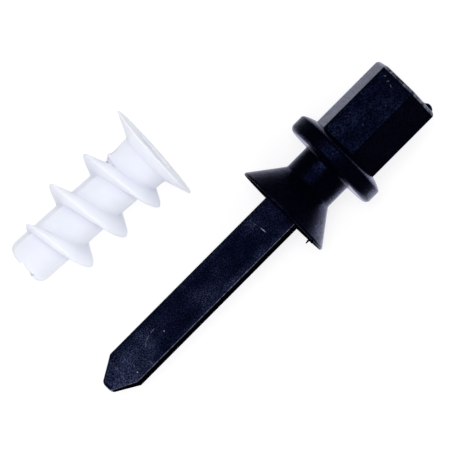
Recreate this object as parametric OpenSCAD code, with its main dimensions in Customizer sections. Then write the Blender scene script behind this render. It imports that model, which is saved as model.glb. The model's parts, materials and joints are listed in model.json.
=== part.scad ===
// Self-drilling spiral wall anchor for plasterboard, with its setting tool.
// Two separate mouldings, laid side by side on a table (z = 0).
// Millimetres. +X runs along the tool from blade tip to drive hex, +Z is up.

/* [Plug body] */
// overall length of the plug, flange face to tip
plug_len = 22.2; // [18:0.1:30]
// diameter of the flange that stops against the board
flange_d = 13.9; // [11:0.1:18]
// straight edge of the flange before its underside slopes in
flange_edge = 0.14; // [0.1:0.02:0.6]
// depth of the flange from its face to where the neck starts
flange_h = 1.45; // [1:0.05:2.5]
// neck diameter just under the flange
neck_top_d = 7.25; // [6.8:0.05:9]
// neck diameter at its far end
neck_end_d = 7.0; // [6.8:0.1:9]
// distance from the flange face to the end of the thicker neck
neck_end = 4.9; // [3.5:0.1:7]
// diameter of the core that carries the thread
core_d = 6.4; // [6.2:0.1:8]
// distance across the two long flats of the core
core_flats = 5.84; // [5.2:0.02:6.2]
// rounding of the edge at the tip
tip_round = 1.3; // [0.4:0.1:1.6]

/* [Plug thread] */
// outside diameter over the thread crest
thread_d = 11.42; // [9.5:0.02:13]
// advance of the single right-hand thread in one turn
thread_pitch = 5.76; // [4.5:0.01:7]
// crest to root on the side that faces the tip
thread_front = 0.86; // [0.6:0.02:1.6]
// crest to root on the side that faces the flange
thread_back = 1.24; // [0.8:0.02:1.8]
// distance from the flange face to the first full crest
thread_first = 4.2; // [3.5:0.1:6]
// length over which the thread fades out toward the flange
thread_fade = 2.6; // [1.5:0.1:3]
// length over which the thread grows from nothing at the tip end
thread_lead = 2.6; // [2:0.1:5]
// plain length left between the tip and the start of the thread
thread_tip_gap = 3.1; // [1.5:0.1:6]

/* [Tool blade] */
// length of the blade, tip to the face of the pressure cone
blade_len = 31.5; // [26:0.1:45]
// width of the blade
blade_w = 5.25; // [4:0.05:5.4]
// thickness of the blade
blade_t = 2.2; // [1.6:0.05:2.4]
// length of the tapered drilling tip
blade_tip_len = 3.3; // [1.5:0.05:5]
// width left at the very end of the tip
blade_tip_w = 1.5; // [0.8:0.05:3]
// thickness left at the very end of the tip
blade_tip_t = 1.2; // [0.6:0.05:1.6]

/* [Tool body] */
// diameter of the two round rims the tool lies on: cone face and collar
rim_d = 13.7; // [11:0.1:18]
// straight edge of the cone before it tapers
cone_land = 0.35; // [0.2:0.05:1]
// length of the cone, flat face to neck
cone_len = 4.5; // [3:0.1:7]
// diameter of the neck between cone and collar
neck_d = 7.3; // [6:0.1:9]
// length of the neck
neck_len = 3.7; // [2:0.05:6]
// fillet where the neck meets the cone and the collar
neck_fillet = 0.35; // [0.1:0.05:0.6]
// length of the straight part of the collar
collar_len = 2.2; // [1.6:0.05:4]
// rounding of the front edge of the collar
collar_round = 0.75; // [0.2:0.05:1]
// height of the shallow dome behind the collar
dome_h = 0.85; // [0.4:0.05:1.5]
// drive hex, across flats
hex_af = 9.1; // [7:0.1:10.4]
// length of the drive hex beyond the dome
hex_len = 11.2; // [8:0.1:20]
// bevel at the free end of the drive hex
hex_bevel = 0.45; // [0.2:0.05:0.8]

/* [Fit] */
// play between the blade and the slot, over both sides
blade_play = 0.14; // [0.1:0.02:0.3]
// extra width of the round entry beyond the corners of the slot
entry_play = 0.1; // [0.04:0.02:0.24]
// depth of the round entry in the flange before the slot starts
entry_depth = 4.6; // [3:0.1:8]

/* [Layout] */
// how far behind the cone face the plug's flange face lies
plug_back = 5.95; // [3:0.05:9]
// sideways distance between the tool axis and the flange centre
plug_side = 16.95; // [15.8:0.05:24]
// turn of the plug axis away from the tool axis, degrees
plug_turn = 4.0; // [0:0.1:8]
// roll of the tool about its axis, degrees: 0 has the blade flat
tool_roll = 15; // [0:1:30]
// roll of the plug: how far its long flats look up from level, degrees
plug_roll = 15; // [0:1:45]

/* [Hidden] */
$fn = 96;
eps = 0.01;

flange_r = flange_d / 2;
core_r = core_d / 2;
thread_r = thread_d / 2;
rim_r = rim_d / 2;
slot_w = blade_w + blade_play;
slot_t = blade_t + blade_play;
entry_d = sqrt(slot_w * slot_w + slot_t * slot_t) + entry_play;

// stations along the tool, measured from the blade tip
x_cone = blade_len;
x_neck = x_cone + cone_len;
x_collar = x_neck + neck_len;
x_dome = x_collar + collar_len;
x_hex = x_dome + dome_h;
tool_len = x_hex + hex_len;

// the plug rests on the flange edge and on its last full crest that faces down
thread_end = plug_len - thread_tip_gap;
thread_full = thread_end - thread_lead;
thread_down = thread_first - thread_pitch / 4;
rest_s = thread_down + floor((thread_full - thread_down) / thread_pitch) * thread_pitch;
plug_dip = atan((flange_r - thread_r) / (rest_s - flange_edge));

// where the pieces lie, with the origin at the middle of both
thread_out = thread_first + thread_pitch / 2;
out_s = thread_out + floor((thread_full - thread_out) / thread_pitch) * thread_pitch;
side_far = max(plug_side + flange_r * cos(plug_turn),
    plug_side + thread_r * cos(plug_turn) + out_s * sin(plug_turn));
plug_x = -tool_len / 2 + x_cone - plug_back;
plug_y = plug_side - (side_far - rim_r) / 2;
tool_y = -(side_far - rim_r) / 2;

// points of a round or fillet in a profile
function arc(cx, cy, r, a0, a1, n = 6) =
    [for (i = [0:n]) [cx + r * cos(a0 + (a1 - a0) * i / n), cy + r * sin(a0 + (a1 - a0) * i / n)]];

// blade: flat bar whose end tapers in width and thins to a chisel
module blade() {
    intersection() {
        linear_extrude(height = blade_t + 2, center = true)
            polygon([
                [0, -blade_tip_w / 2], [blade_tip_len, -blade_w / 2],
                [x_cone + cone_len / 2, -blade_w / 2], [x_cone + cone_len / 2, blade_w / 2],
                [blade_tip_len, blade_w / 2], [0, blade_tip_w / 2]
            ]);
        rotate([90, 0, 0])
            linear_extrude(height = blade_w + 2, center = true)
                polygon([
                    [0, -blade_tip_t / 2], [blade_tip_len, -blade_t / 2],
                    [x_cone + cone_len / 2, -blade_t / 2], [x_cone + cone_len / 2, blade_t / 2],
                    [blade_tip_len, blade_t / 2], [0, blade_tip_t / 2]
                ]);
    }
}

// cone, neck, collar and dome turned as one profile (radius, station)
module turned_body() {
    nr = neck_d / 2;
    nf = neck_fillet;
    dome_r = hex_af / sqrt(3) - 0.05;
    rotate([0, 90, 0])
        rotate_extrude()
            polygon(concat(
                [[0, x_cone], [rim_r, x_cone], [rim_r, x_cone + cone_land],
                 [nr + nf * 0.4, x_neck - nf * 0.4], [nr, x_neck + nf * 0.6]],
                arc(nr + nf, x_collar - nf, nf, 180, 90),
                arc(rim_r - collar_round, x_collar + collar_round, collar_round, -90, 0),
                [for (i = [0:8]) let (f = i / 8)
                    [rim_r - (rim_r - dome_r) * pow(f, 1.6), x_dome + dome_h * f]],
                [[0, x_hex]]
            ));
}

// one pair of opposite flats of the drive hex, bevelled at the free end
module hex_pair(turn) {
    h = hex_af / 2;
    rotate([0, 0, turn])
        rotate([90, 0, 0])
            linear_extrude(height = 2 * hex_af, center = true)
                polygon([[-h, x_dome], [h, x_dome], [h, tool_len - hex_bevel],
                    [h - hex_bevel, tool_len], [hex_bevel - h, tool_len], [-h, tool_len - hex_bevel]]);
}

module drive_hex() {
    rotate([0, 90, 0])
        intersection() {
            hex_pair(0);
            hex_pair(60);
            hex_pair(120);
        }
}

module setting_tool() {
    color([0.05, 0.05, 0.07])
        translate([-tool_len / 2, tool_y, rim_r])
            rotate([-tool_roll, 0, 0]) {
                blade();
                turned_body();
                drive_hex();
            }
}

// height of the thread at a station, as a share of its full height; it
// sinks into the core at both ends
function grow(s) = min(1, (s - thread_first + thread_fade) / thread_fade,
    (thread_end - s) / thread_lead);

// one cross-section of the thread: straight flanks, a crest rounded as half an
// ellipse, steeper toward the tip, its foot buried in the core
crest_from = 0.8; // share of the height where the rounding starts
crest_half = 0.37; // half the rounding's width, as a share of the flank
crest_mid = 0.06;
rib = concat(
    [[1.20, -0.30]],
    [for (a = [0:45:180])
        [crest_mid + crest_half * cos(a), crest_from + (1 - crest_from) * sin(a)]],
    [[-1.25, -0.30]]
);

// right-hand spiral rib wound round the core, axis +Z = distance from the flange
module thread() {
    steps = 30;
    s0 = thread_first - 1.12 * thread_fade;
    s1 = thread_end + 0.1 * thread_lead;
    n = ceil((s1 - s0) / thread_pitch * steps);
    m = len(rib);
    h = thread_r - core_r;
    pts = [for (i = [0:n]) let (
            s = s0 + (s1 - s0) * i / n,
            a = 360 * (s - thread_first) / thread_pitch,
            g = grow(s),
            w = 0.35 + 0.65 * max(0, g)
        ) for (p = rib) let (
            z = s + w * (p[0] > 0 ? p[0] * thread_front : p[0] * thread_back),
            r = core_r + h * (-0.3 + (p[1] + 0.3) * (g + 0.3) / 1.3)
        ) [r * cos(a), r * sin(a), z]];
    sides = [for (i = [0:n - 1], j = [0:m - 1]) let (
            a = i * m + j, b = i * m + (j + 1) % m, c = a + m, d = b + m
        ) each [[a, c, b], [b, c, d]]];
    ends = [[for (j = [0:m - 1]) j], [for (j = [m - 1:-1:0]) n * m + j]];
    polyhedron(points = pts, faces = concat(sides, ends), convexity = 8);
}

// flange, neck, core and rounded tip turned as one profile (radius, station)
module plug_core() {
    intersection() {
        rotate_extrude()
            polygon(concat(
                [[0, 0], [flange_r, 0], [flange_r, flange_edge],
                 [flange_r - (flange_r - neck_top_d / 2) * 0.62, flange_h * 0.7],
                 [neck_top_d / 2, flange_h], [neck_end_d / 2, neck_end],
                 [core_r + 0.1, neck_end + 0.15], [core_r, neck_end + 1.8]],
                arc(core_r - tip_round, plug_len - tip_round, tip_round, 0, 90),
                [[0, plug_len]]
            ));
        union() {
            translate([-20, -20, -1]) cube([40, 40, neck_end + 1.3]);
            translate([-core_flats / 2, -20, 0]) cube([core_flats, 40, plug_len + 1]);
        }
    }
}

// the plug about its own axis: +Z runs from the flange face to the tip
module plug_solid() {
    difference() {
        union() {
            // the flats look up and to the side, parallel to the blade slot
            rotate([0, 0, -plug_roll]) plug_core();
            thread();
        }
        // round entry for the blade
        translate([0, 0, -1]) cylinder(h = entry_depth + 1, d = entry_d);
        // slot that the blade turns the plug by
        rotate([0, 0, -plug_roll])
            translate([-slot_t / 2, -slot_w / 2, entry_depth - eps])
                cube([slot_t, slot_w, plug_len]);
    }
}

module plug() {
    color([0.90, 0.92, 0.97])
        translate([plug_x, plug_y, 0])
            rotate([0, 0, -plug_turn])
                translate([0, 0, flange_r * cos(plug_dip) + flange_edge * sin(plug_dip)])
                    rotate([0, -plug_dip, 0])
                        rotate([90, 0, -90])
                            plug_solid();
}

setting_tool();
plug();
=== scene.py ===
import json
import math
import bmesh
import bpy
import numpy as np
from mathutils import Matrix, Vector


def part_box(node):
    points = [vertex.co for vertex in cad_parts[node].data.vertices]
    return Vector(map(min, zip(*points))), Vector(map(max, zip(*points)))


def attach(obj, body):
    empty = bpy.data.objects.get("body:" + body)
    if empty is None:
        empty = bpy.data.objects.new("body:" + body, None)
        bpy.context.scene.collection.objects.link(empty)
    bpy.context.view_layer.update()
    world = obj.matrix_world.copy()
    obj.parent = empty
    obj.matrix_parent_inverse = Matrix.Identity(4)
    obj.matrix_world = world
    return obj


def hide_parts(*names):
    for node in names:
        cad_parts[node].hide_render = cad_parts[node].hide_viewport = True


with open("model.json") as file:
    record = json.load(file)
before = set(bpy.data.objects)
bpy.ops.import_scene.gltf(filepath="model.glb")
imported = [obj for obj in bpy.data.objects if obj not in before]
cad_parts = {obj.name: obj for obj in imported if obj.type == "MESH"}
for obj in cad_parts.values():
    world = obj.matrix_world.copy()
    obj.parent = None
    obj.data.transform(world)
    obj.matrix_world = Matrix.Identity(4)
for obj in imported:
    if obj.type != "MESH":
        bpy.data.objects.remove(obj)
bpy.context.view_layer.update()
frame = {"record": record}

# ---------------------------------------------------------------- setting tool
# The setting tool is one moulding in satin black plastic: a flat blade
# with a chisel point, a pressure cone, a short neck, a collar and a drive hex.
# It is moulded lying along its axis and broken off its gate at the hex end.
MM = 0.001
mounts = {m["name"]: m for m in frame["record"]["mounts"]}
hex_end = Vector(mounts["hex_end"]["pos_m"])
cone_face_x = mounts["pressure_face"]["pos_m"][0]
tool_low_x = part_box("setting_tool")[0][0]
TOOL_ROLL = math.radians(15)
BLADE_LEN = (cone_face_x - tool_low_x) / MM
TOOL_LEN = (hex_end.x - tool_low_x) / MM

tool_place = (
    Matrix.Translation((tool_low_x, hex_end.y, hex_end.z))
    @ Matrix.Rotation(-TOOL_ROLL, 4, "X")
    @ Matrix.Diagonal((MM, MM, MM, 1))
)


def new_piece(name, points, faces, place, smooth_angle=32):
    """A mesh object from points in millimetres, set in its place in the frame."""
    mesh = bpy.data.meshes.new(name)
    mesh.from_pydata([place @ Vector(p) for p in points], [], faces)
    mesh.validate()
    obj = bpy.data.objects.new(name, mesh)
    bpy.context.scene.collection.objects.link(obj)
    work = bmesh.new()
    work.from_mesh(mesh)
    bmesh.ops.recalc_face_normals(work, faces=work.faces)
    limit = math.radians(smooth_angle)
    for face in work.faces:
        face.smooth = True
    for edge in work.edges:
        if len(edge.link_faces) == 2 and edge.calc_face_angle(0) > limit:
            edge.smooth = False
    work.to_mesh(mesh)
    work.free()
    return obj


def loft(rings):
    """Closed skin over rings with equal point counts, with both ends capped."""
    count = len(rings[0])
    points = [p for ring in rings for p in ring]
    faces = []
    for i in range(len(rings) - 1):
        for j in range(count):
            k = (j + 1) % count
            faces.append((i * count + j, i * count + k, (i + 1) * count + k, (i + 1) * count + j))
    faces.append(tuple(range(count))[::-1])
    faces.append(tuple((len(rings) - 1) * count + j for j in range(count)))
    return points, faces


# blade: rounded-edge bar, its end narrowed and thinned to a chisel with a blunt nose
BLADE_HALF_W, BLADE_HALF_T, BLADE_EDGE = 2.625, 1.10, 0.16
TIP_LEN, TIP_HALF_W, TIP_HALF_T = 3.3, 0.75, 0.60
NOSE_LEN, NOSE_LESS_W, NOSE_LESS_T = 0.32, 0.42, 0.30


def blade_ring(x, half_w, half_t, edge):
    """Section of the blade: a rectangle with rounded edges."""
    ring = []
    for sy, sz, start in ((1, 1, 0), (-1, 1, 90), (-1, -1, 180), (1, -1, 270)):
        for step in range(5):
            a = math.radians(start + step * 22.5)
            y = sy * (half_w - edge) + edge * math.cos(a)
            ring.append((x, y, sz * (half_t - edge) + edge * math.sin(a)))
        if sy == sz:
            for share in (0.8, 0.5, 0.2, -0.2, -0.5, -0.8):
                ring.append((x, sy * share * (half_w - edge), sz * half_t))
    return ring


def blade_size(x):
    """Half width and half thickness of the blade at a distance from its tip."""
    share = min(1.0, x / TIP_LEN)
    half_w = TIP_HALF_W + (BLADE_HALF_W - TIP_HALF_W) * share
    half_t = TIP_HALF_T + (BLADE_HALF_T - TIP_HALF_T) * share
    if x < NOSE_LEN:
        nose = math.sqrt(max(0.0, 1 - (1 - x / NOSE_LEN) ** 2))
        half_w = half_w - NOSE_LESS_W * (1 - nose)
        half_t = half_t - NOSE_LESS_T * (1 - nose)
    return half_w, half_t


stations = [0.0, 0.02, 0.06, 0.13, 0.22, 0.32, 0.6, 1.2, 1.9, 2.6, 3.1, 3.22, 3.3, 3.38, 3.5]
stations += [4.0 + 1.2 * k for k in range(23)] + [BLADE_LEN + 1.0]
blade_points, blade_faces = loft([
    blade_ring(x, *blade_size(x), min(BLADE_EDGE, blade_size(x)[1] * 0.5)) for x in stations
])
blade = new_piece("tool_blade", blade_points, blade_faces, tool_place)

# cone, neck, collar and dome: one turned shape, its corners slightly rounded
RIM_R, NECK_R = 6.85, 3.65
CONE_LEN, NECK_LEN, COLLAR_LEN, DOME_LEN = 4.5, 3.70, 2.20, 0.85
COLLAR_ROUND, NECK_FILLET, CONE_FILLET = 0.75, 0.40, 0.62
CONE_X = BLADE_LEN
NECK_X = CONE_X + CONE_LEN
COLLAR_X = NECK_X + NECK_LEN
DOME_X = COLLAR_X + COLLAR_LEN
HEX_X = DOME_X + DOME_LEN
HEX_HALF = 4.55


def corner(cx, cr, radius, start, end, steps):
    """Points of a rounded corner in the turned profile: (station, radius)."""
    turn = [math.radians(start + (end - start) * i / steps) for i in range(steps + 1)]
    return [(cx + radius * math.cos(a), cr + radius * math.sin(a)) for a in turn]


profile = [(CONE_X, 0.4), (CONE_X, 2.0), (CONE_X, 4.5), (CONE_X, 6.3)]
profile += corner(CONE_X + 0.12, RIM_R - 0.12, 0.12, 180, 90, 4)
profile += corner(CONE_X + 0.27, RIM_R - 0.10, 0.10, 90, 42, 3)
cone_top, cone_foot = profile[-1], (NECK_X - 0.22, NECK_R + 0.20)
profile += [(cone_top[0] + (cone_foot[0] - cone_top[0]) * i / 8,
             cone_top[1] + (cone_foot[1] - cone_top[1]) * i / 8) for i in range(1, 8)]
neck_start = 0.28
neck_straight = NECK_LEN - neck_start - NECK_FILLET
profile += corner(NECK_X + neck_start, NECK_R + CONE_FILLET, CONE_FILLET, 222, 270, 5)
profile += [(NECK_X + neck_start + neck_straight * i / 6, NECK_R) for i in range(1, 6)]
profile += corner(COLLAR_X - NECK_FILLET, NECK_R + NECK_FILLET, NECK_FILLET, 270, 360, 7)
profile += [(COLLAR_X, 4.6), (COLLAR_X, 5.5)]
profile += corner(COLLAR_X + COLLAR_ROUND, RIM_R - COLLAR_ROUND, COLLAR_ROUND, 180, 90, 10)
profile += [(COLLAR_X + 1.0, RIM_R), (COLLAR_X + 1.4, RIM_R), (COLLAR_X + 1.8, RIM_R)]
DOME_R = HEX_HALF / math.cos(math.radians(30)) - 0.05
for i in range(13):
    f = i / 12
    profile.append((DOME_X - 0.06 + 0.90 * f, RIM_R - (RIM_R - DOME_R) * f ** 1.75))
profile += [(HEX_X + 0.02, 4.4), (HEX_X + 0.02, 2.0), (HEX_X + 0.02, 0.4)]

TURNS = 128
turned_points, turned_faces = loft([
    [(x, r * math.cos(2 * math.pi * k / TURNS), r * math.sin(2 * math.pi * k / TURNS)) for k in range(TURNS)]
    for x, r in profile
])
turned = new_piece("tool_turned", turned_points, turned_faces, tool_place)


def hex_ring(x, half, edge, per_corner=6):
    """Section of the drive hex: flats up and down, corners rounded."""
    ring = []
    reach = (half - edge) / math.cos(math.radians(30))
    for side in range(6):
        middle = math.radians(60 * side)
        cy, cz = reach * math.cos(middle), reach * math.sin(middle)
        for step in range(per_corner + 1):
            a = middle + math.radians(-30 + 60 * step / per_corner)
            ring.append((x, cy + edge * math.cos(a), cz + edge * math.sin(a)))
        following = math.radians(60 * (side + 1))
        a = middle + math.radians(30)
        y0, y1 = cy + edge * math.cos(a), reach * math.cos(following) + edge * math.cos(a)
        z0, z1 = cz + edge * math.sin(a), reach * math.sin(following) + edge * math.sin(a)
        for share in (0.1, 0.35, 0.65, 0.9):
            ring.append((x, y0 * (1 - share) + y1 * share, z0 * (1 - share) + z1 * share))
    return ring


END_ROUND, HEX_EDGE = 0.55, 0.22
hex_rings = [hex_ring(DOME_X + 0.1, HEX_HALF, HEX_EDGE), hex_ring(HEX_X - 0.05, HEX_HALF, HEX_EDGE)]
straight = TOOL_LEN - END_ROUND - HEX_X
hex_rings += [hex_ring(HEX_X + straight * i / 10, HEX_HALF, HEX_EDGE) for i in range(1, 11)]
for i in range(1, 8):
    a = math.radians(90 * i / 7)
    inset = END_ROUND * (1 - math.cos(a))
    station = TOOL_LEN - END_ROUND + END_ROUND * math.sin(a)
    hex_rings.append(hex_ring(station, HEX_HALF - inset, HEX_EDGE + 0.3 * inset))
hex_rings.append(hex_ring(TOOL_LEN, 2.6, 0.3))
hex_points, hex_faces = loft(hex_rings)
drive = new_piece("tool_hex", hex_points, hex_faces, tool_place)


def join_solids(keep, *others):
    """Fuses closed meshes into the first one, as the mould does."""
    for other in others:
        cut = keep.modifiers.new("fuse", "BOOLEAN")
        cut.operation, cut.solver, cut.object = "UNION", "EXACT", other
        settle(keep)
        bpy.data.objects.remove(other)


def settle(obj):
    """Applies the modifiers of a piece to its mesh."""
    bpy.context.view_layer.update()
    done = bpy.data.meshes.new_from_object(obj.evaluated_get(bpy.context.evaluated_depsgraph_get()))
    done.name = obj.data.name
    obj.modifiers.clear()
    obj.data = done


def crease(obj, smooth_angle):
    """Smooth shading, broken where two faces meet at more than the angle."""
    work = bmesh.new()
    work.from_mesh(obj.data)
    bmesh.ops.remove_doubles(work, verts=work.verts, dist=2e-6)
    limit = math.radians(smooth_angle)
    for face in work.faces:
        face.smooth = True
    for edge in work.edges:
        edge.smooth = not (len(edge.link_faces) == 2 and edge.calc_face_angle(0) > limit)
    work.to_mesh(obj.data)
    work.free()


def stub(name, centre, size, seed, place):
    """A small torn lump of plastic."""
    rng = np.random.default_rng(seed)
    ball = bmesh.new()
    bmesh.ops.create_icosphere(ball, subdivisions=3, radius=1)
    wave = rng.normal(size=(5, 3)) * 2.2
    phase = rng.uniform(0, 6.28, 5)
    points = []
    for v in ball.verts:
        d = np.array(v.co)
        bump = 1 + 0.10 * sum(math.sin(float(d @ w) + p) for w, p in zip(wave, phase))
        points.append(tuple(centre[k] + size[k] * d[k] * bump for k in range(3)))
    faces = [tuple(v.index for v in f.verts) for f in ball.faces]
    ball.free()
    return new_piece(name, points, faces, place, 60)


# the torn end of the runner below the hex end's corner, and torn burrs at the
# cone's rim and at the root of the blade
gate = stub("tool_gate", (TOOL_LEN - 0.05, -3.55, -0.9), (0.48, 0.85, 1.0), 4, tool_place)
rim_burr = stub("tool_rim_burr", (CONE_X - 0.12, -6.12, 2.40), (0.20, 0.56, 0.14), 11, tool_place)
rim_spike = stub("tool_rim_spike", (CONE_X - 0.38, -5.86, 2.40), (0.38, 0.15, 0.12), 5, tool_place)
root_burr = stub("tool_root_burr", (CONE_X - 0.15, -2.62, 1.0), (0.34, 0.22, 0.14), 7, tool_place)
join_solids(turned, drive, blade, gate, rim_burr, rim_spike, root_burr)
turned.name = "setting_tool_moulding"
crease(turned, 30)
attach(turned, "setting_tool")
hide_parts("setting_tool")


# which faces the mould left matt (the blade's sides and the flat under the cone)
# and which edges are pale: the upward-facing rounded edges of the blade and the rounded hex end
to_tool = tool_place.inverted()
turn_in = to_tool.to_3x3().normalized()
matt = turned.data.attributes.new("matt", "FLOAT", "FACE")
pale_edge = turned.data.attributes.new("pale_edge", "FLOAT", "FACE")
matt_values, pale_edge_values = [], []
for polygon in turned.data.polygons:
    centre, facing = to_tool @ polygon.center, turn_in @ polygon.normal
    on_blade = centre.x < CONE_X - 0.02
    torn = centre.x > TOOL_LEN + 0.01 or on_blade and abs(centre.y) > 2.64
    square = abs(centre.x - CONE_X) < 0.02 and facing.x < -0.9
    side_face = on_blade and abs(facing.y) > 0.75
    matt_values.append(0.8 if torn else 1.0 if side_face or square else 0.0)
    rounded = on_blade and 0.30 < abs(facing.y) < 0.90 and facing.z > 0.3
    end_edge = centre.x > TOOL_LEN - 0.5 and 0.25 < facing.x < 0.85
    pale_edge_values.append(1.0 if (rounded or end_edge) and not torn else 0.0)
matt.data.foreach_set("value", matt_values)
pale_edge.data.foreach_set("value", pale_edge_values)


def socket(node, name, value):
    """Sets one input of a material node."""
    node.inputs[name].default_value = value


# satin black plastic: blue-black, finely speckled where it shines, with the
# flow marks of the mould, pale upward-facing edges and a few short scratches
black = bpy.data.materials.new("black_plastic")
black.use_nodes = True
tree = black.node_tree
links = tree.links
skin = tree.nodes["Principled BSDF"]
socket(skin, "Roughness", 0.20)
socket(skin, "IOR", 1.46)
where = tree.nodes.new("ShaderNodeTexCoord")
in_tool = tree.nodes.new("ShaderNodeMapping")
in_tool.vector_type = "TEXTURE"
socket(in_tool, "Location", (tool_low_x, hex_end.y, hex_end.z))
socket(in_tool, "Rotation", (-TOOL_ROLL, 0, 0))
socket(in_tool, "Scale", (MM, MM, MM))
links.new(where.outputs["Object"], in_tool.inputs["Vector"])


def noise(tree, where, scale, detail=3.0, rough=0.55):
    """Noise over a piece; scale is in features per unit of the given place."""
    node = tree.nodes.new("ShaderNodeTexNoise")
    socket(node, "Scale", scale)
    socket(node, "Detail", detail)
    socket(node, "Roughness", rough)
    tree.links.new(where, node.inputs["Vector"])
    return node


def ramp(tree, source, stops):
    """Colour ramp from (position, colour) stops."""
    node = tree.nodes.new("ShaderNodeValToRGB")
    while len(node.color_ramp.elements) < len(stops):
        node.color_ramp.elements.new(0.5)
    for element, (position, colour) in zip(node.color_ramp.elements, stops):
        element.position = position
        element.color = (*colour, 1) if isinstance(colour, tuple) else (colour, colour, colour, 1)
    tree.links.new(source, node.inputs["Fac"])
    return node


def sum_of(tree, kind, a, b):
    """One arithmetic node on two outputs, or an output and a number."""
    node = tree.nodes.new("ShaderNodeMath")
    node.operation = kind
    for slot, value in ((0, a), (1, b)):
        if isinstance(value, float):
            node.inputs[slot].default_value = value
        else:
            tree.links.new(value, node.inputs[slot])
    return node.outputs["Value"]


def mark(centre, size, angle=0.0, place=in_tool, tree=tree):
    """A soft ellipsoid spot on a piece: 1 in its middle, 0 at its edge (millimetres)."""
    spot = tree.nodes.new("ShaderNodeMapping")
    spot.vector_type = "TEXTURE"
    socket(spot, "Location", centre)
    socket(spot, "Rotation", (0, 0, math.radians(angle)))
    socket(spot, "Scale", size)
    tree.links.new(place.outputs["Vector"], spot.inputs["Vector"])
    ball = tree.nodes.new("ShaderNodeTexGradient")
    ball.gradient_type = "SPHERICAL"
    tree.links.new(spot.outputs["Vector"], ball.inputs["Vector"])
    return ball.outputs["Fac"]


# how much the skin shines: grain, cloudy flow marks, broad patches on the blade
grain = noise(tree, in_tool.outputs["Vector"], 5.4, 2.0, 0.8)
cloud = noise(tree, in_tool.outputs["Vector"], 0.42, 5.0, 0.62)
grain_level = ramp(tree, grain.outputs["Fac"], [(0.40, 0.04), (0.50, 0.30), (0.56, 0.62), (0.63, 1.0)])
cloud_level = ramp(tree, cloud.outputs["Fac"], [(0.34, 0.32), (0.50, 0.52), (0.66, 1.0)])
shine = sum_of(tree, "MULTIPLY", grain_level.outputs["Color"], cloud_level.outputs["Color"])
patches = sum_of(tree, "MULTIPLY", mark((1.0, 0, 1.1), (8.0, 5.5, 4.0)), 2.0)
for centre, size, angle, gain in (
        ((9.0, 0.6, 1.1), (6.0, 3.0, 2.0), 0, 0.9), ((17.0, -0.5, 1.1), (3.4, 1.7, 2.0), -24, 2.2),
        ((20.0, 2.5, 1.1), (13.0, 0.9, 1.4), 0, 1.5), ((22.0, -2.2, 1.1), (12.0, 0.8, 1.4), 0, 1.0),
        ((27.5, 1.5, 1.1), (2.4, 1.0, 1.4), 10, 1.2), ((31.0, 1.7, 1.1), (2.2, 1.4, 1.6), 0, 0.9)):
    patches = sum_of(tree, "ADD", patches, sum_of(tree, "MULTIPLY", mark(centre, size, angle), gain))
lit = sum_of(tree, "ADD", patches, 0.66)
shine = sum_of(tree, "MULTIPLY", shine, lit)
shine = sum_of(tree, "MULTIPLY", shine, 2.2)
side = tree.nodes.new("ShaderNodeAttribute")
side.attribute_name = "matt"
kept = sum_of(tree, "MULTIPLY_ADD", side.outputs["Fac"], -1.0)
kept.node.inputs[2].default_value = 1.0
shine = sum_of(tree, "MULTIPLY", shine, kept)
links.new(shine, skin.inputs["Specular IOR Level"])
cast = ramp(tree, sum_of(tree, "MULTIPLY", shine, 0.5), [(0.0, (0.13, 0.21, 1.0)), (0.9, (0.38, 0.47, 1.0))])
links.new(cast.outputs["Color"], skin.inputs["Specular Tint"])

# pale marks in the colour itself: pale upward-facing edges, scratches, specks, and one painted highlight line
# across the blade
edge = tree.nodes.new("ShaderNodeAttribute")
edge.attribute_name = "pale_edge"
edge_patchiness = noise(tree, in_tool.outputs["Vector"], 1.9, 3.0, 0.7)
edge_patch_level = ramp(tree, edge_patchiness.outputs["Fac"], [(0.38, 0.02), (0.62, 0.16)])
pale = sum_of(tree, "MULTIPLY", edge.outputs["Fac"], edge_patch_level.outputs["Color"])
for centre, size, angle, gain in (
        ((28.15, -0.2, 1.1), (0.06, 0.58, 0.3), 4, 0.60), ((27.9, 1.15, 1.1), (0.08, 0.24, 0.3), 30, 0.08),
        ((7.3, 0.05, 1.1), (0.45, 0.06, 0.3), 40, 0.16), ((8.1, 0.55, 1.1), (0.55, 0.05, 0.3), 22, 0.20),
        ((9.2, 0.78, 1.1), (0.50, 0.05, 0.3), 6, 0.22), ((4.1, -1.7, 1.1), (0.12, 0.12, 0.3), 0, 0.5),
        ((10.2, -0.35, 1.1), (0.08, 0.16, 0.3), 0, 0.4), ((4.4, -0.7, 1.1), (0.05, 0.60, 0.3), -14, 0.12),
        # the second mark on the next line is a painted highlight: a faint pale line across the blade where
        # its chisel starts to thin
        ((6.2, -2.1, 1.1), (0.05, 0.45, 0.3), 0, 0.16), ((2.60, 0.0, 1.0), (0.20, 3.2, 0.5), 0, 0.020),
        ((52.8, 1.7, 4.55), (0.05, 0.24, 0.3), 40, 0.22), ((52.6, 0.9, 4.55), (0.26, 0.04, 0.3), -35, 0.22),
        ((52.4, 0.2, 4.55), (0.04, 0.30, 0.3), -20, 0.22), ((46.4, -0.8, 4.55), (0.07, 0.07, 0.3), 0, 0.2)):
    pale = sum_of(tree, "ADD", pale, sum_of(tree, "MULTIPLY", mark(centre, size, angle), gain))
tone = ramp(tree, pale, [
    (0.0, (0.0004, 0.0006, 0.0022)), (0.5, (0.42, 0.44, 0.50)), (1.0, (0.75, 0.76, 0.80))])
links.new(tone.outputs["Color"], skin.inputs["Base Color"])
relief = tree.nodes.new("ShaderNodeBump")
socket(relief, "Strength", 0.16)
socket(relief, "Distance", 0.00004)
links.new(grain.outputs["Fac"], relief.inputs["Height"])
links.new(relief.outputs["Normal"], skin.inputs["Normal"])
turned.data.materials.clear()
turned.data.materials.append(black)

# ------------------------------------------------------------------------ plug
# The plug is one moulding in natural white nylon: a thin flange, a thicker
# neck, a core with two long flats and one coarse right-hand thread, and a slot
# right through for the tool's blade. A scar on the neck shows its gate.
entry = mounts["entry_bore"]
out_of_flange = Vector(entry["axis"]).normalized()
face_centre = Vector(entry["pos_m"]) + out_of_flange * (entry["dims"]["length_mm"] / 2 * MM)
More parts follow.
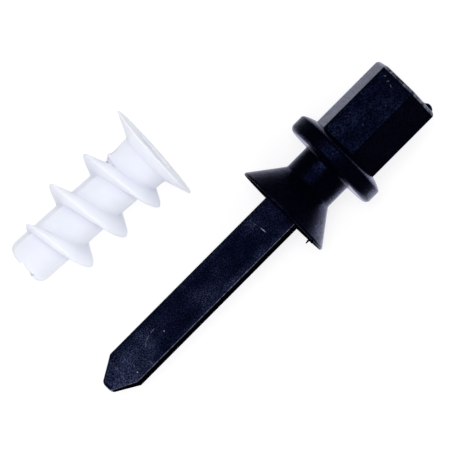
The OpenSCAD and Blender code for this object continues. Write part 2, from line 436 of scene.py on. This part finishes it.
# local x is level to the tool's side, y is up, z runs from the flange to the tip
along = -out_of_flange
level = along.cross(Vector((0, 0, 1))).normalized()
if level.y > 0:
    level = -level
upward = along.cross(level).normalized()
plug_place = Matrix((
    (*(c * MM for c in (level.x, upward.x, along.x)), face_centre.x),
    (*(c * MM for c in (level.y, upward.y, along.y)), face_centre.y),
    (*(c * MM for c in (level.z, upward.z, along.z)), face_centre.z),
    (0, 0, 0, 1)))

PLUG_LEN, FLANGE_R, CORE_R = 22.2, 6.95, 3.20
PITCH, CREST_R, FIRST_CREST = 5.76, 5.71, 4.2
THREAD_END, LEAD, FADE = 19.1, 2.6, 2.6
FLAT_HALF = 2.92
PLUG_ROLL = math.radians(15)
ENTRY_R, ENTRY_DEPTH = 2.988, 4.6
SLOT_HALF_W, SLOT_HALF_T = 2.695, 1.17

# flange: a thin edge, its underside sloping in to a neck that narrows to the core
FLANGE_EDGE, EDGE_ROUND, UNDER_SLOPE = 0.16, 0.07, 2.45
NECK_TOP_R, NECK_TAPER, NECK_END = 3.73, 0.048, 4.88
CORE_TOP_R, CORE_TAPER = 3.38, 0.075
# thread: where each flank meets the core, how far it runs while it climbs the
# full height, and how much of the peak between the two flanks is rounded away
FRONT_FOOT, FRONT_RUN = 0.86, 0.60
BACK_FOOT, BACK_RUN = 1.24, 1.06
CREST_ROUND = 1.15


def soft_max(a, b, width):
    """The larger of two heights, with a small fillet where they meet."""
    share = np.clip(0.5 + 0.5 * (a - b) / width, 0, 1)
    return b + (a - b) * share + width * share * (1 - share)


def stem_radius(s):
    """Radius of the flange, neck and round core at a distance from the flange face."""
    shy = np.clip(EDGE_ROUND - s, 0, EDGE_ROUND)
    rim = FLANGE_R - EDGE_ROUND + np.sqrt(EDGE_ROUND ** 2 - shy ** 2)
    underside = FLANGE_R - UNDER_SLOPE * (s - FLANGE_EDGE)
    neck = NECK_TOP_R - NECK_TAPER * s
    core = np.maximum(CORE_R, CORE_TOP_R - CORE_TAPER * (s - NECK_END))
    step = np.clip((s - NECK_END) / 0.30 + 0.5, 0, 1)
    step = step * step * (3 - 2 * step)
    return soft_max(np.minimum(rim, underside), neck * (1 - step) + core * step, 0.30)


def flank_height(u):
    """Share of the thread's height at a distance from its crest toward the tip."""
    front = (FRONT_FOOT - u) / FRONT_RUN
    behind = (BACK_FOOT + u) / BACK_RUN
    return -soft_max(-front, -behind, CREST_ROUND)


def plug_radius(s, turn):
    """Outside radius of the plug at a distance from its flange and an angle."""
    base = stem_radius(s)
    for facing in (math.pi - PLUG_ROLL, -PLUG_ROLL):
        near = np.cos(turn - facing)
        flat = np.where(near > 0.3, FLAT_HALF / np.maximum(near, 0.3), 99.0)
        flat = flat + 30.0 * np.clip(5.24 - s, 0, 1)
        base = -soft_max(-base, -flat, 0.05)
    thread = np.full_like(base, 1.0)
    for wind in range(-2, 5):
        crest = FIRST_CREST + PITCH * (turn / (2 * math.pi) + wind)
        grow = np.minimum(np.minimum(1.0, (crest - FIRST_CREST + FADE) / FADE), (THREAD_END - crest) / LEAD)
        wide = 0.35 + 0.65 * np.clip(grow, 0, 1)
        height = flank_height((s - crest) / wide)
        reach = CORE_R + (CREST_R - CORE_R) * (-0.3 + (height + 0.3) * (grow + 0.3) / 1.3)
        thread = np.maximum(thread, np.where(grow > -0.2, reach, 1.0))
    return soft_max(base, thread, 0.14)


SEGMENTS = 208
turn = np.linspace(0, 2 * math.pi, SEGMENTS, endpoint=False)
rows = [0.0, 0.05, 0.13, 0.20]
rows += list(np.arange(0.28, PLUG_LEN - 1.32, 0.085))
points = []
GATE_TURN = math.radians(170)


def add_ring(s, radius):
    """One ring of the plug's skin."""
    for a, r, z in zip(turn, np.broadcast_to(radius, turn.shape), np.broadcast_to(s, turn.shape)):
        points.append((r * math.cos(a), r * math.sin(a), z))


for radius in (3.6, 5.0, 6.2):
    add_ring(0.0, radius)
for s in rows:
    radius = plug_radius(np.full_like(turn, s), turn)
    # gate scar: a shallow scoop that ends in a small torn lip
    side = np.exp(-0.5 * ((np.angle(np.exp(1j * (turn - GATE_TURN)))) / 0.20) ** 2)
    scoop = 0.17 * math.exp(-0.5 * ((s - 3.75) / 0.50) ** 2)
    lip = 0.24 * math.exp(-0.5 * (abs(s - 4.66) / 0.17) ** 3)
    add_ring(s, radius + side * lip * 1.1 - side * scoop)
last = plug_radius(np.full_like(turn, rows[-1]), turn)
TIP_ROUND = 1.3
for step in range(1, 13):
    a = math.radians(90 * step / 12)
    s = PLUG_LEN - TIP_ROUND + TIP_ROUND * math.sin(a)
    add_ring(s, last - TIP_ROUND * (1 - math.cos(a)))
add_ring(PLUG_LEN, 1.2)
faces = []
ring_count = len(points) // SEGMENTS
for i in range(ring_count - 1):
    for j in range(SEGMENTS):
        k = (j + 1) % SEGMENTS
        faces.append((i * SEGMENTS + j, i * SEGMENTS + k, (i + 1) * SEGMENTS + k, (i + 1) * SEGMENTS + j))
faces.append(tuple(range(SEGMENTS)))
faces.append(tuple((ring_count - 1) * SEGMENTS + j for j in range(SEGMENTS)))
plug = new_piece("plug_moulding", points, faces, plug_place, 40)

# the way through for the blade: a round entry, then a flat slot
bore_rings = []
around = np.linspace(0, 2 * math.pi, 96, endpoint=False)
for z, r in ((-1.0, ENTRY_R + 0.18), (0.0, ENTRY_R + 0.18), (0.18, ENTRY_R), (ENTRY_DEPTH, ENTRY_R)):
    bore_rings.append([(r * math.cos(a), r * math.sin(a), z) for a in around])
bore_points, bore_faces = loft(bore_rings)
bore = new_piece("bore_cutter", bore_points, bore_faces, plug_place)


def slot_ring(z):
    """Section of the slot, its corners slightly rounded, turned with the flats."""
    ring = []
    for sx, sy, start in ((1, 1, 0), (-1, 1, 90), (-1, -1, 180), (1, -1, 270)):
        for step in range(5):
            a = math.radians(start + 22.5 * step)
            x = sx * (SLOT_HALF_T - 0.15) + 0.15 * math.cos(a)
            y = sy * (SLOT_HALF_W - 0.15) + 0.15 * math.sin(a)
            ring.append((x * math.cos(PLUG_ROLL) + y * math.sin(PLUG_ROLL),
                         -x * math.sin(PLUG_ROLL) + y * math.cos(PLUG_ROLL), z))
    return ring


slot_points, slot_faces = loft([slot_ring(ENTRY_DEPTH - 0.2), slot_ring(PLUG_LEN + 1.0)])
slot = new_piece("slot_cutter", slot_points, slot_faces, plug_place)
for cutter in (bore, slot):
    cut = plug.modifiers.new("cut", "BOOLEAN")
    cut.operation, cut.solver, cut.object = "DIFFERENCE", "EXACT", cutter
    settle(plug)
    bpy.data.objects.remove(cutter)
crease(plug, 38)
# how thin the nylon is: nothing at the core, full out on the thread and flange
thin = plug.data.attributes.new("thin", "FLOAT", "POINT")
to_plug = plug_place.inverted()
thin.data.foreach_set("value", [
    min(1.0, max(0.0, ((to_plug @ v.co).xy.length - 3.6) / 1.4)) for v in plug.data.vertices])
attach(plug, "plug")
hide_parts("plug")

# natural nylon: milky white with a cool cast, softly satin, faintly uneven
nylon = bpy.data.materials.new("white_nylon")
nylon.use_nodes = True
tree = nylon.node_tree
skin = tree.nodes["Principled BSDF"]
socket(skin, "Roughness", 0.46)
socket(skin, "IOR", 1.50)
socket(skin, "Subsurface Weight", 0.8)
socket(skin, "Subsurface Radius", (1.0, 0.97, 0.95))
depth = tree.nodes.new("ShaderNodeAttribute")
depth.attribute_name = "thin"
seep = tree.nodes.new("ShaderNodeMapRange")
socket(seep, "To Min", 0.0003)
socket(seep, "To Max", 0.0020)
tree.links.new(depth.outputs["Fac"], seep.inputs["Value"])
tree.links.new(seep.outputs["Result"], skin.inputs["Subsurface Scale"])
where = tree.nodes.new("ShaderNodeTexCoord")
cloud = noise(tree, where.outputs["Object"], 260, 3.0, 0.5)
tone = ramp(tree, cloud.outputs["Fac"], [
    (0.30, (0.868, 0.886, 0.968)), (0.70, (0.898, 0.914, 0.990))])
# painted shade: in the roots of the thread and other hollows the colour is made darker and greyer from the
# ambient occlusion node
open_air = tree.nodes.new("ShaderNodeAmbientOcclusion")
open_air.samples = 8
socket(open_air, "Distance", 0.0022)
root = ramp(tree, open_air.outputs["AO"], [
    (0.30, (0.62, 0.57, 0.56)), (0.58, (0.86, 0.835, 0.84)), (0.82, (1.0, 1.0, 1.0))])
root_shaded_tone = tree.nodes.new("ShaderNodeMix")
root_shaded_tone.data_type, root_shaded_tone.blend_type = "RGBA", "MULTIPLY"
socket(root_shaded_tone, "Factor", 1.0)
tree.links.new(tone.outputs["Color"], root_shaded_tone.inputs["A"])
tree.links.new(root.outputs["Color"], root_shaded_tone.inputs["B"])
# painted shade at the gate scar: the colour is darkened along the crease on the neck and in the small pit
# under the lip
in_plug = tree.nodes.new("ShaderNodeMapping")
in_plug.vector_type = "TEXTURE"
socket(in_plug, "Location", face_centre)
socket(in_plug, "Rotation", plug_place.to_euler())
socket(in_plug, "Scale", (MM, MM, MM))
tree.links.new(where.outputs["Object"], in_plug.inputs["Vector"])
scar_shade = ramp(tree, mark((-3.50, 0.10, 3.35), (0.50, 0.85, 1.50), 0, in_plug, tree), [(0.0, 0.0), (0.75, 0.42)])
pit_shade = ramp(tree, mark((-3.55, 0.30, 4.42), (0.40, 0.55, 0.30), 0, in_plug, tree), [(0.0, 0.0), (0.40, 0.50)])
unshaded = sum_of(tree, "SUBTRACT", 1.0, sum_of(tree, "MAXIMUM", scar_shade.outputs["Color"], pit_shade.outputs["Color"]))
scar_shaded_tone = tree.nodes.new("ShaderNodeMix")
scar_shaded_tone.data_type, scar_shaded_tone.blend_type = "RGBA", "MULTIPLY"
socket(scar_shaded_tone, "Factor", 1.0)
tree.links.new(root_shaded_tone.outputs["Result"], scar_shaded_tone.inputs["A"])
tree.links.new(unshaded, scar_shaded_tone.inputs["B"])
tree.links.new(scar_shaded_tone.outputs["Result"], skin.inputs["Base Color"])
ripple = noise(tree, where.outputs["Object"], 1500, 2.0, 0.5)
satin = tree.nodes.new("ShaderNodeBump")
socket(satin, "Strength", 0.12)
socket(satin, "Distance", 0.00005)
tree.links.new(ripple.outputs["Fac"], satin.inputs["Height"])
tree.links.new(satin.outputs["Normal"], skin.inputs["Normal"])
plug.data.materials.clear()
plug.data.materials.append(nylon)

# ------------------------------------------------------------ table and lights
# A plain white table top under soft studio light. The camera sees it as white,
# with the shadows on it. In the plastic its reflection is painted: a glow set by place, bright near the tool
# and dim far off, stands in for the light and shade on the table.
bpy.ops.mesh.primitive_plane_add(size=3, location=(0, 0, 0))
table_top = bpy.context.object
table_top.name = "table_top"
paper = bpy.data.materials.new("table_white")
paper.use_nodes = True
tree = paper.node_tree
sheet = tree.nodes["Principled BSDF"]
socket(sheet, "Roughness", 0.9)
socket(sheet, "Specular IOR Level", 0.0)
rays = tree.nodes.new("ShaderNodeLightPath")
# painted reflection: in the reflections the table glows by its place across the tool, bright close to it and
# dim far off, standing in for the light and shadow on the table
MIRROR_GAIN, CAMERA_GLOW, BOUNCE_GLOW = 1.6, 0.71, 0.34
TABLE_FALL = 8.333  # how fast the place along the ramp below moves, per metre
spot = tree.nodes.new("ShaderNodeNewGeometry")
split = tree.nodes.new("ShaderNodeSeparateXYZ")
tree.links.new(spot.outputs["Position"], split.inputs["Vector"])
spread = sum_of(tree, "MULTIPLY", split.outputs["Y"], TABLE_FALL)
across = sum_of(tree, "ADD", spread, 0.5 - TABLE_FALL * hex_end.y)
painted_table_light = ramp(tree, across, [
    (0.0, 0.012), (0.167, 0.06), (0.267, 0.16), (0.317, 0.32), (0.358, 0.82), (0.417, 0.90), (0.5, 0.66),
    (0.575, 0.54), (0.608, 0.35), (0.667, 0.12), (0.767, 0.02), (1.0, 0.012)])
near = sum_of(tree, "MULTIPLY", painted_table_light.outputs["Color"], MIRROR_GAIN)
gloss = tree.nodes.new("ShaderNodeMath")
gloss.operation = "MULTIPLY"
tree.links.new(rays.outputs["Is Glossy Ray"], gloss.inputs[0])
tree.links.new(near, gloss.inputs[1])
lift = tree.nodes.new("ShaderNodeMath")
lift.operation = "MULTIPLY_ADD"
lift.inputs[1].default_value = CAMERA_GLOW
tree.links.new(rays.outputs["Is Camera Ray"], lift.inputs[0])
tree.links.new(gloss.outputs["Value"], lift.inputs[2])
cover = tree.nodes.new("ShaderNodeMix")
cover.data_type = "RGBA"
socket(cover, "A", (0.90, 0.90, 0.90, 1))
socket(cover, "B", (0.40, 0.385, 0.37, 1))
tree.links.new(rays.outputs["Is Camera Ray"], cover.inputs["Factor"])
# in the reflections the table's own lit colour is turned nearly black, so only the painted glow shows
dull = tree.nodes.new("ShaderNodeMix")
dull.data_type = "RGBA"
socket(dull, "B", (0.05, 0.05, 0.05, 1))
tree.links.new(cover.outputs["Result"], dull.inputs["A"])
tree.links.new(rays.outputs["Is Glossy Ray"], dull.inputs["Factor"])
tree.links.new(dull.outputs["Result"], sheet.inputs["Base Color"])
# painted reflection tint: in the reflections the table's glow is bluish
hue = tree.nodes.new("ShaderNodeMix")
hue.data_type = "RGBA"
socket(hue, "A", (0.985, 0.99, 1.0, 1))
socket(hue, "B", (0.78, 0.80, 1.0, 1))
tree.links.new(rays.outputs["Is Glossy Ray"], hue.inputs["Factor"])
tree.links.new(hue.outputs["Result"], sheet.inputs["Emission Color"])
glow = tree.nodes.new("ShaderNodeMath")
glow.operation = "MULTIPLY_ADD"
glow.inputs[1].default_value = BOUNCE_GLOW
tree.links.new(rays.outputs["Is Diffuse Ray"], glow.inputs[0])
tree.links.new(lift.outputs["Value"], glow.inputs[2])
tree.links.new(glow.outputs["Value"], sheet.inputs["Emission Strength"])
table_top.data.materials.append(paper)

# the room: an even white tent for light, a dim sky in the reflections that is
# strongest overhead and a little toward the plug, white where it is looked at
world = bpy.data.worlds.new("studio")
world.use_nodes = True
bpy.context.scene.world = world
tree = world.node_tree
air = tree.nodes["Background"]
rays = tree.nodes.new("ShaderNodeLightPath")
where = tree.nodes.new("ShaderNodeTexCoord")
facing = tree.nodes.new("ShaderNodeVectorMath")
facing.operation = "DOT_PRODUCT"
facing.inputs[1].default_value = Vector((-0.16, 0.32, 0.92)).normalized()
tree.links.new(where.outputs["Generated"], facing.inputs[0])
sky = ramp(tree, facing.outputs["Value"], [
    (0.0, 0.040), (0.70, 0.012), (0.88, 0.07), (0.95, 0.44), (1.0, 0.98)])
mirror = tree.nodes.new("ShaderNodeMix")
mirror.data_type = "RGBA"
socket(mirror, "A", (0.74, 0.75, 0.795, 1))
tree.links.new(rays.outputs["Is Glossy Ray"], mirror.inputs["Factor"])
tree.links.new(sky.outputs["Color"], mirror.inputs["B"])
shade = tree.nodes.new("ShaderNodeMix")
shade.data_type = "RGBA"
socket(shade, "B", (1, 1, 1, 1))
tree.links.new(mirror.outputs["Result"], shade.inputs["A"])
tree.links.new(rays.outputs["Is Camera Ray"], shade.inputs["Factor"])
tree.links.new(shade.outputs["Result"], air.inputs["Color"])


def lamp(name, where, aim, size, watts, colour=(1, 1, 1)):
    """A square soft box aimed at a point, too wide to show as a spot in the plastic."""
    data = bpy.data.lights.new(name, "AREA")
    data.shape, data.size, data.energy, data.color = "SQUARE", size, watts, colour
    obj = bpy.data.objects.new(name, data)
    obj.location = where
    obj.rotation_euler = (Vector(aim) - Vector(where)).to_track_quat("-Z", "Y").to_euler()
    obj.visible_glossy = False
    bpy.context.scene.collection.objects.link(obj)


lamp("key", (-0.08, 0.34, 0.86), (0, 0, 0), 0.40, 0.16, (1.0, 0.99, 0.98))
lamp("top", (0.00, 0.05, 0.95), (0, 0, 0), 0.30, 2.25, (0.94, 0.95, 1.0))
lamp("fill", (-0.62, -0.72, 0.40), (0, 0, 0), 0.35, 0.80, (0.94, 0.95, 1.0))
lamp("side", (0.70, -0.28, 0.26), (0, 0, 0), 0.35, 0.75, (0.94, 0.95, 1.0))

# camera almost straight above, leaning a little toward the blade's side, long lens
VIEW_DISTANCE, VIEW_WIDTH, SENSOR = 1.5, 0.05715, 36
VIEW_TURN = math.radians(-45.17)
target = Vector((-0.00175, -0.00450, 0.00685))
back = Vector((-0.030, -0.045, 1)).normalized()
turned_right = Vector((math.cos(VIEW_TURN), math.sin(VIEW_TURN), 0))
right = (turned_right - back * turned_right.dot(back)).normalized()
up = back.cross(right)
place = target + back * VIEW_DISTANCE
camera = bpy.data.objects.new("camera", bpy.data.cameras.new("camera"))
camera.data.sensor_width = SENSOR
camera.data.lens = SENSOR * VIEW_DISTANCE / VIEW_WIDTH
camera.matrix_world = Matrix((
    (right.x, up.x, back.x, place.x),
    (right.y, up.y, back.y, place.y),
    (right.z, up.z, back.z, place.z),
    (0, 0, 0, 1)))
camera.data.clip_start, camera.data.clip_end = 0.01, 20
bpy.context.scene.collection.objects.link(camera)
bpy.context.scene.camera = camera
bpy.context.scene.view_settings.view_transform = "Standard"
